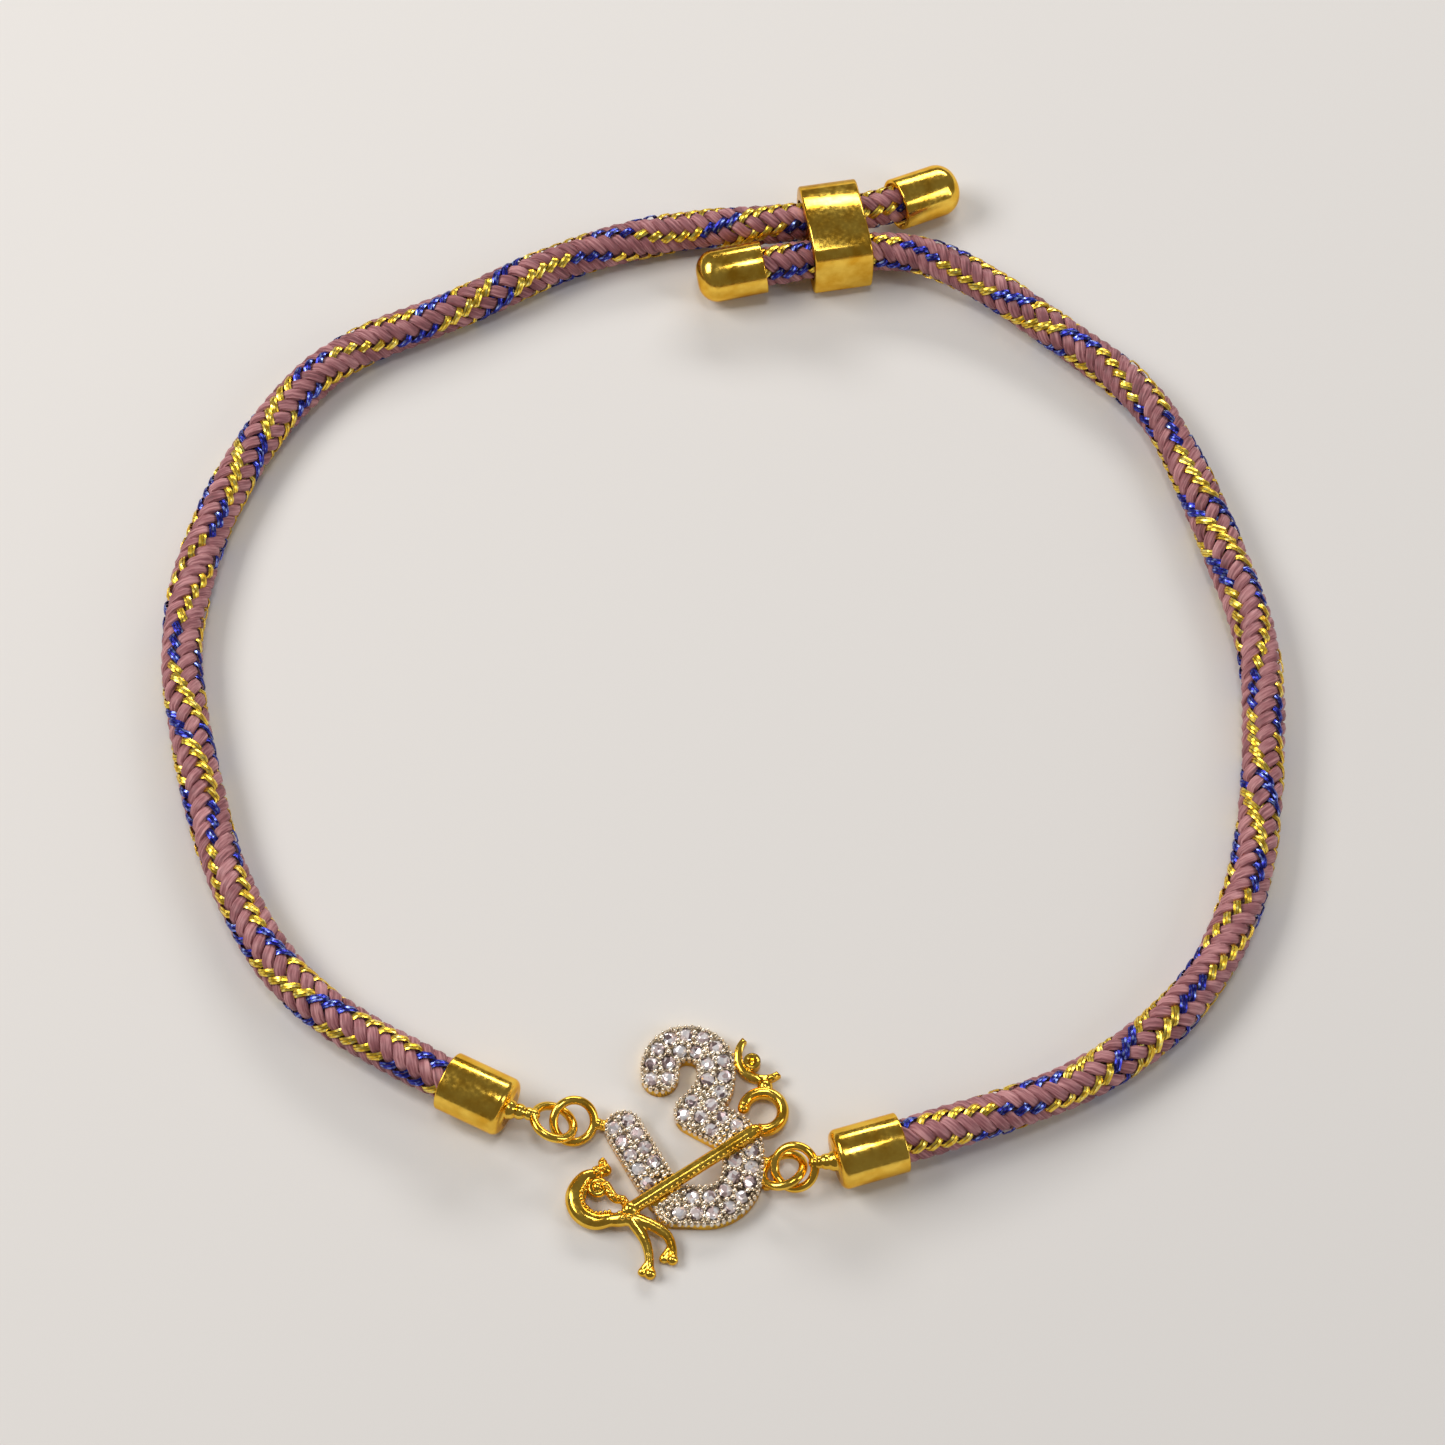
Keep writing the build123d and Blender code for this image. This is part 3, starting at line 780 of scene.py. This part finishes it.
class YarnMesh:
    def __init__(self):
        self.points, self.faces, self.slots, self.uvs, self.paintedShades = [], [], [], [], []

    def addYarn(self, sections, slot, shift):
        # sections: distance along the yarn, ring of points, and each point's painted shade, darker
        # where the yarn dives and on its flanks
        base = len(self.points)
        sides = len(sections[0][1])
        for travel, ring, paintedShades in sections:
            self.points += ring
            self.paintedShades += paintedShades
        for row in range(len(sections) - 1):
            low, high = sections[row][0] + shift, sections[row + 1][0] + shift
            for column in range(sides):
                other = (column + 1) % sides
                a = base + row * sides
                b = a + sides
                self.faces.append((a + column, a + other, b + other, b + column))
                self.slots.append(slot)
                u, v = column / sides, (column + 1) / sides
                self.uvs += [(u, low), (v, low), (v, high), (u, high)]
        last = base + (len(sections) - 1) * sides
        self.faces.append(tuple(base + column for column in reversed(range(sides))))
        self.faces.append(tuple(last + column for column in range(sides)))
        self.slots += [slot, slot]
        self.uvs += [(0.5, shift)] * (2 * sides)

    def build(self, name, materials):
        mesh = bpy.data.meshes.new(name)
        mesh.from_pydata(self.points, [], self.faces)
        for mat in materials:
            mesh.materials.append(mat)
        mesh.polygons.foreach_set("material_index", self.slots)
        layer = mesh.uv_layers.new(name="yarnMap")
        layer.data.foreach_set("uv", [value for pair in self.uvs for value in pair])
        paintedShading = mesh.attributes.new("paintedShading", "FLOAT", "POINT")
        paintedShading.data.foreach_set("value", self.paintedShades)
        mesh.update()
        piece = bpy.data.objects.new(name, mesh)
        bpy.context.collection.objects.link(piece)
        pick(piece)
        bpy.ops.object.shade_smooth_by_angle(angle=math.radians(cordSet["sharpFrom"]))
        return piece


def drift(kind, travel, row, otherRow):
    return noise.noise(Vector((travel * driftRates[kind], row, otherRow)))


def yarnCentre(braid, start, yarn, seed):
    # the middle line of one yarn, which goes over two and under two of the other way's yarns
    line = []
    side = math.copysign(1, yarn["swing"])
    for frame, travel, twist, grip in zip(*braid["rows"]):
        point, along, left, up = frame
        track = start + yarn["way"] * 2 * math.pi * (travel + braid["shift"]) / braid["lead"]
        wave = math.tanh(yarn["flatness"] * math.cos(4 * track)) / math.tanh(yarn["flatness"])
        stray = drift("stray", travel, seed, braid["seed"])
        bulge = drift("bulge", travel, braid["seed"], seed * 0.2)
        swell = drift("swell", travel, 4.0, braid["seed"])
        # the stretch that lies on top leans more or less across the cord
        bend = side * yarn["lean"] * math.sin(4 * track)
        angle = track + bend + math.radians(twist) + stray * cordSet["wander"]
        reach = yarn["radius"] + yarn["swing"] * wave + bulge * cordSet["wander"]
        reach *= 1 - cordSet["squeeze"] * grip + cordSet["swell"] * swell * (1 - grip)
        outward = up * math.cos(angle) + left * math.sin(angle)
        line.append((point + outward * reach * mm, outward, side * wave))
    return line


def yarnFrames(line):
    # each point of a yarn with its direction, its width's direction, its outward normal and wave
    travel = 0.0
    for index, (point, outward, wave) in enumerate(line):
        before = line[max(0, index - 1)][0]
        after = line[min(len(line) - 1, index + 1)][0]
        if index:
            travel += (point - before).length / mm
        along = (after - before).normalized()
        across = outward.cross(along).normalized()
        yield travel, point, across, along.cross(across), wave


def squared(value):
    return math.copysign(abs(value) ** cordSet["squareness"], value)


def textileSections(line):
    halfWide, halfThick = cordSet["textile"]["half"]
    sides, flank = cordSet["sides"], cordSet["flankShade"]
    sections = []
    for travel, point, across, normal, wave in yarnFrames(line):
        plump = 1 - cordSet["waist"] * (1 - wave) / 2
        ring, paintedShades = [], []
        for number in range(sides):
            turn = 2 * math.pi * number / sides
            ring.append(point + (across * squared(math.cos(turn)) * halfWide * plump
                                 + normal * squared(math.sin(turn)) * halfThick) * mm)
            # painted shade: darker where the yarn dives under the others and on its flanks
            paintedShades.append((0.5 + 0.5 * wave) * (1 - flank + flank * math.sin(turn)))
        sections.append((travel, ring, paintedShades))
    return sections


def ribbonSections(line, offset, seed):
    # a flat metallic ribbon that rolls a little, so that it glints unevenly
    halfWide, halfThick = cordSet["metal"]["half"]
    sections = []
    for travel, point, across, normal, wave in yarnFrames(line):
        stray = cordSet["ribbonStray"] * drift("ribbonStray", travel, seed, 5.0)
        roll = math.radians(cordSet["ribbonRoll"]) * drift("ribbonRoll", travel, seed, 9.0)
        roll -= offset * cordSet["ribbonLean"]
        droop = abs(offset) * cordSet["ribbonDroop"]
        middle = point + (across * (offset + stray) - normal * droop) * mm
        wide = across * math.cos(roll) + normal * math.sin(roll)
        thick = normal * math.cos(roll) - across * math.sin(roll)
        ring = [middle + (wide * halfWide * a + thick * halfThick * b) * mm
                for a, b in ((-1, -1), (1, -1), (1, 1), (-1, 1))]
        # painted shade: darker where the ribbon dives under the textile yarns
        sections.append((travel, ring, [0.5 + 0.5 * wave] * 4))
    return sections


def makeCord(name, pieceName, materials):
    pattern = cordPattern[name]
    points, length = evenPoints(routeLine(name), cordSet["step"] * mm)
    travels = [length / mm * index / (len(points) - 1) for index in range(len(points))]
    frames = crossFrames(points)
    twists = smoothed([twistAt(pattern["twist"], travel) for travel in travels], cordSet["twistReach"])
    grips = smoothed([insideMetal(point) for point in points], cordSet["squeezeReach"])
    braid = {"rows": (frames, travels, twists, grips), "lead": pattern["lead"],
             "shift": pattern["shift"], "seed": pattern["seed"]}
    yarns = YarnMesh()
    # the core: a tube inside the braid whose dark colour is painted shade in the gaps between the yarns
    core = []
    turns = [2 * math.pi * number / cordSet["coreSides"] for number in range(cordSet["coreSides"])]
    for (point, along, side, up), travel in zip(frames, travels):
        ring = [point + (side * math.cos(turn) + up * math.sin(turn)) * cordSet["coreRadius"] * mm
                for turn in turns]
        core.append((travel, ring, [0.0] * len(ring)))
    yarns.addYarn(core, 3, 0)
    middle = (cordSet["ribbons"] - 1) / 2
    for carrier in range(cordSet["carriers"]):
        start = 2 * math.pi * carrier / cordSet["carriers"]
        line = yarnCentre(braid, start, cordSet["textile"], carrier)
        yarns.addYarn(textileSections(line), 0, carrier * yarnSeeds["textileMap"])
        start += math.pi / cordSet["carriers"]
        line = yarnCentre(braid, start, cordSet["metal"], carrier + yarnSeeds["metal"])
        slot = 2 if carrier in pattern["blue"] else 1
        for ribbon in range(cordSet["ribbons"]):
            offset = (ribbon - middle) * cordSet["ribbonPitch"]
            seed = carrier * yarnSeeds["carrier"] + ribbon * yarnSeeds["ribbon"]
            yarns.addYarn(ribbonSections(line, offset, seed), slot,
                          carrier * yarnSeeds["metalMap"] + ribbon)
    piece = yarns.build(pieceName, materials)
    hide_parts(name)
    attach(piece, "root")
    print(pieceName, round(length / mm, 1), "mm long,", len(piece.data.polygons), "faces")


# yarn materials: each noise's stretch is across, along and through a yarn
mauveSet = {
    "hairs": (17, 0.7, 1), "hairDetail": 3.0, "patches": (1.5, 0.22, 1), "patchDetail": 1.0,
    "patchShare": 0.4,
    "stops": [(0.32, (0.115, 0.030, 0.036)), (0.48, (0.325, 0.115, 0.130)), (0.66, (0.66, 0.32, 0.33))],
    "least": 0.22,        # painted shade: share of its colour that a yarn keeps where it dives
    "roughness": 0.5, "specular": 0.4,
    "sheen": 0.10, "sheenRoughness": 0.4, "sheenTint": (0.95, 0.75, 0.80),
    "relief": 0.7, "reliefDepth": 0.07 * mm,
}
# the metal threads' painted shade keeps this share of their colour where they dive
threadSet = {"glintFlecks": (2, 2.2, 1), "detail": 2.0, "places": (0.34, 0.52, 0.70), "least": 0.72,
             "roughness": 0.32, "relief": 0.15, "reliefDepth": 0.04 * mm}
# dark, middle and palest colour of each thread; the palest is a painted glint on random flecks
threadColours = {
    "goldThread": [(0.80, 0.47, 0.03), (1.0, 0.72, 0.09), (1.0, 0.90, 0.32)],
    "blueThread": [(0.020, 0.018, 0.18), (0.040, 0.052, 0.44), (0.40, 0.54, 1.0)],
}
# the core's dark colours are painted shade seen between the yarns
coreShadeSet = {"scale": 4000.0, "detail": 2.0, "roughness": 0.9,
           "stops": [(0.3, (0.06, 0.028, 0.036)), (0.7, (0.15, 0.07, 0.085))]}
# values of the painted shade that run from full shade to full colour
paintedShadeRange = (0.05, 0.62)


def yarnNoise(nodes, links, stretch, detail):
    uv = nodes.new("ShaderNodeUVMap")
    uv.uv_map = "yarnMap"
    mapping = addNode(nodes, "ShaderNodeMapping", Scale=stretch)
    links.new(uv.outputs["UV"], mapping.inputs["Vector"])
    return noiseTexture(nodes, links, mapping.outputs["Vector"], 1.0, detail)


def paintShade(nodes, links, colour, least):
    # painted shade: darker where the yarn dives between the others, and on its flanks
    paintedShading = nodes.new("ShaderNodeAttribute")
    paintedShading.attribute_name = "paintedShading"
    share = remap(nodes, links, paintedShading.outputs["Fac"], paintedShadeRange, (least, 1))
    mix = nodes.new("ShaderNodeMix")
    mix.data_type = "RGBA"
    mix.blend_type = "MULTIPLY"
    mix.inputs["Factor"].default_value = 1
    links.new(colour, mix.inputs["A"])
    links.new(share, mix.inputs["B"])
    return mix.outputs["Result"]


def mauveYarn():
    mat, nodes, links, shader = newMaterial("mauveYarn")
    hairs = yarnNoise(nodes, links, mauveSet["hairs"], mauveSet["hairDetail"])
    patches = yarnNoise(nodes, links, mauveSet["patches"], mauveSet["patchDetail"])
    blend = nodes.new("ShaderNodeMix")
    blend.data_type = "FLOAT"
    blend.inputs["Factor"].default_value = mauveSet["patchShare"]
    links.new(hairs, blend.inputs["A"])
    links.new(patches, blend.inputs["B"])
    tone = toned(nodes, links, blend.outputs["Result"], mauveSet["stops"])
    links.new(paintShade(nodes, links, tone, mauveSet["least"]), shader.inputs["Base Color"])
    shader.inputs["Roughness"].default_value = mauveSet["roughness"]
    shader.inputs["Sheen Weight"].default_value = mauveSet["sheen"]
    shader.inputs["Sheen Roughness"].default_value = mauveSet["sheenRoughness"]
    shader.inputs["Sheen Tint"].default_value = (*mauveSet["sheenTint"], 1)
    shader.inputs["Specular IOR Level"].default_value = mauveSet["specular"]
    addBump(nodes, links, shader, hairs, mauveSet["relief"], mauveSet["reliefDepth"])
    return mat


def metalThread(name):
    mat, nodes, links, shader = newMaterial(name)
    glintFlecks = yarnNoise(nodes, links, threadSet["glintFlecks"], threadSet["detail"])
    # painted glints: the palest colour lands on random flecks along the ribbons
    tone = toned(nodes, links, glintFlecks, list(zip(threadSet["places"], threadColours[name])))
    links.new(paintShade(nodes, links, tone, threadSet["least"]), shader.inputs["Base Color"])
    shader.inputs["Metallic"].default_value = 1
    shader.inputs["Roughness"].default_value = threadSet["roughness"]
    addBump(nodes, links, shader, glintFlecks, threadSet["relief"], threadSet["reliefDepth"])
    return mat


def gapShadeCore():
    # a core inside the braid, coloured dark as painted shade between the yarns
    mat, nodes, links, shader = newMaterial("coreGapShade")
    cloud = noiseTexture(nodes, links, objectCoords(nodes), coreShadeSet["scale"], coreShadeSet["detail"])
    links.new(toned(nodes, links, cloud, coreShadeSet["stops"]), shader.inputs["Base Color"])
    shader.inputs["Roughness"].default_value = coreShadeSet["roughness"]
    return mat


cordMaterials = [mauveYarn(), metalThread("goldThread"), metalThread("blueThread"), gapShadeCore()]
makeCord("cord_left", "braidLeft", cordMaterials)
makeCord("cord_right", "braidRight", cordMaterials)
print("cords made")
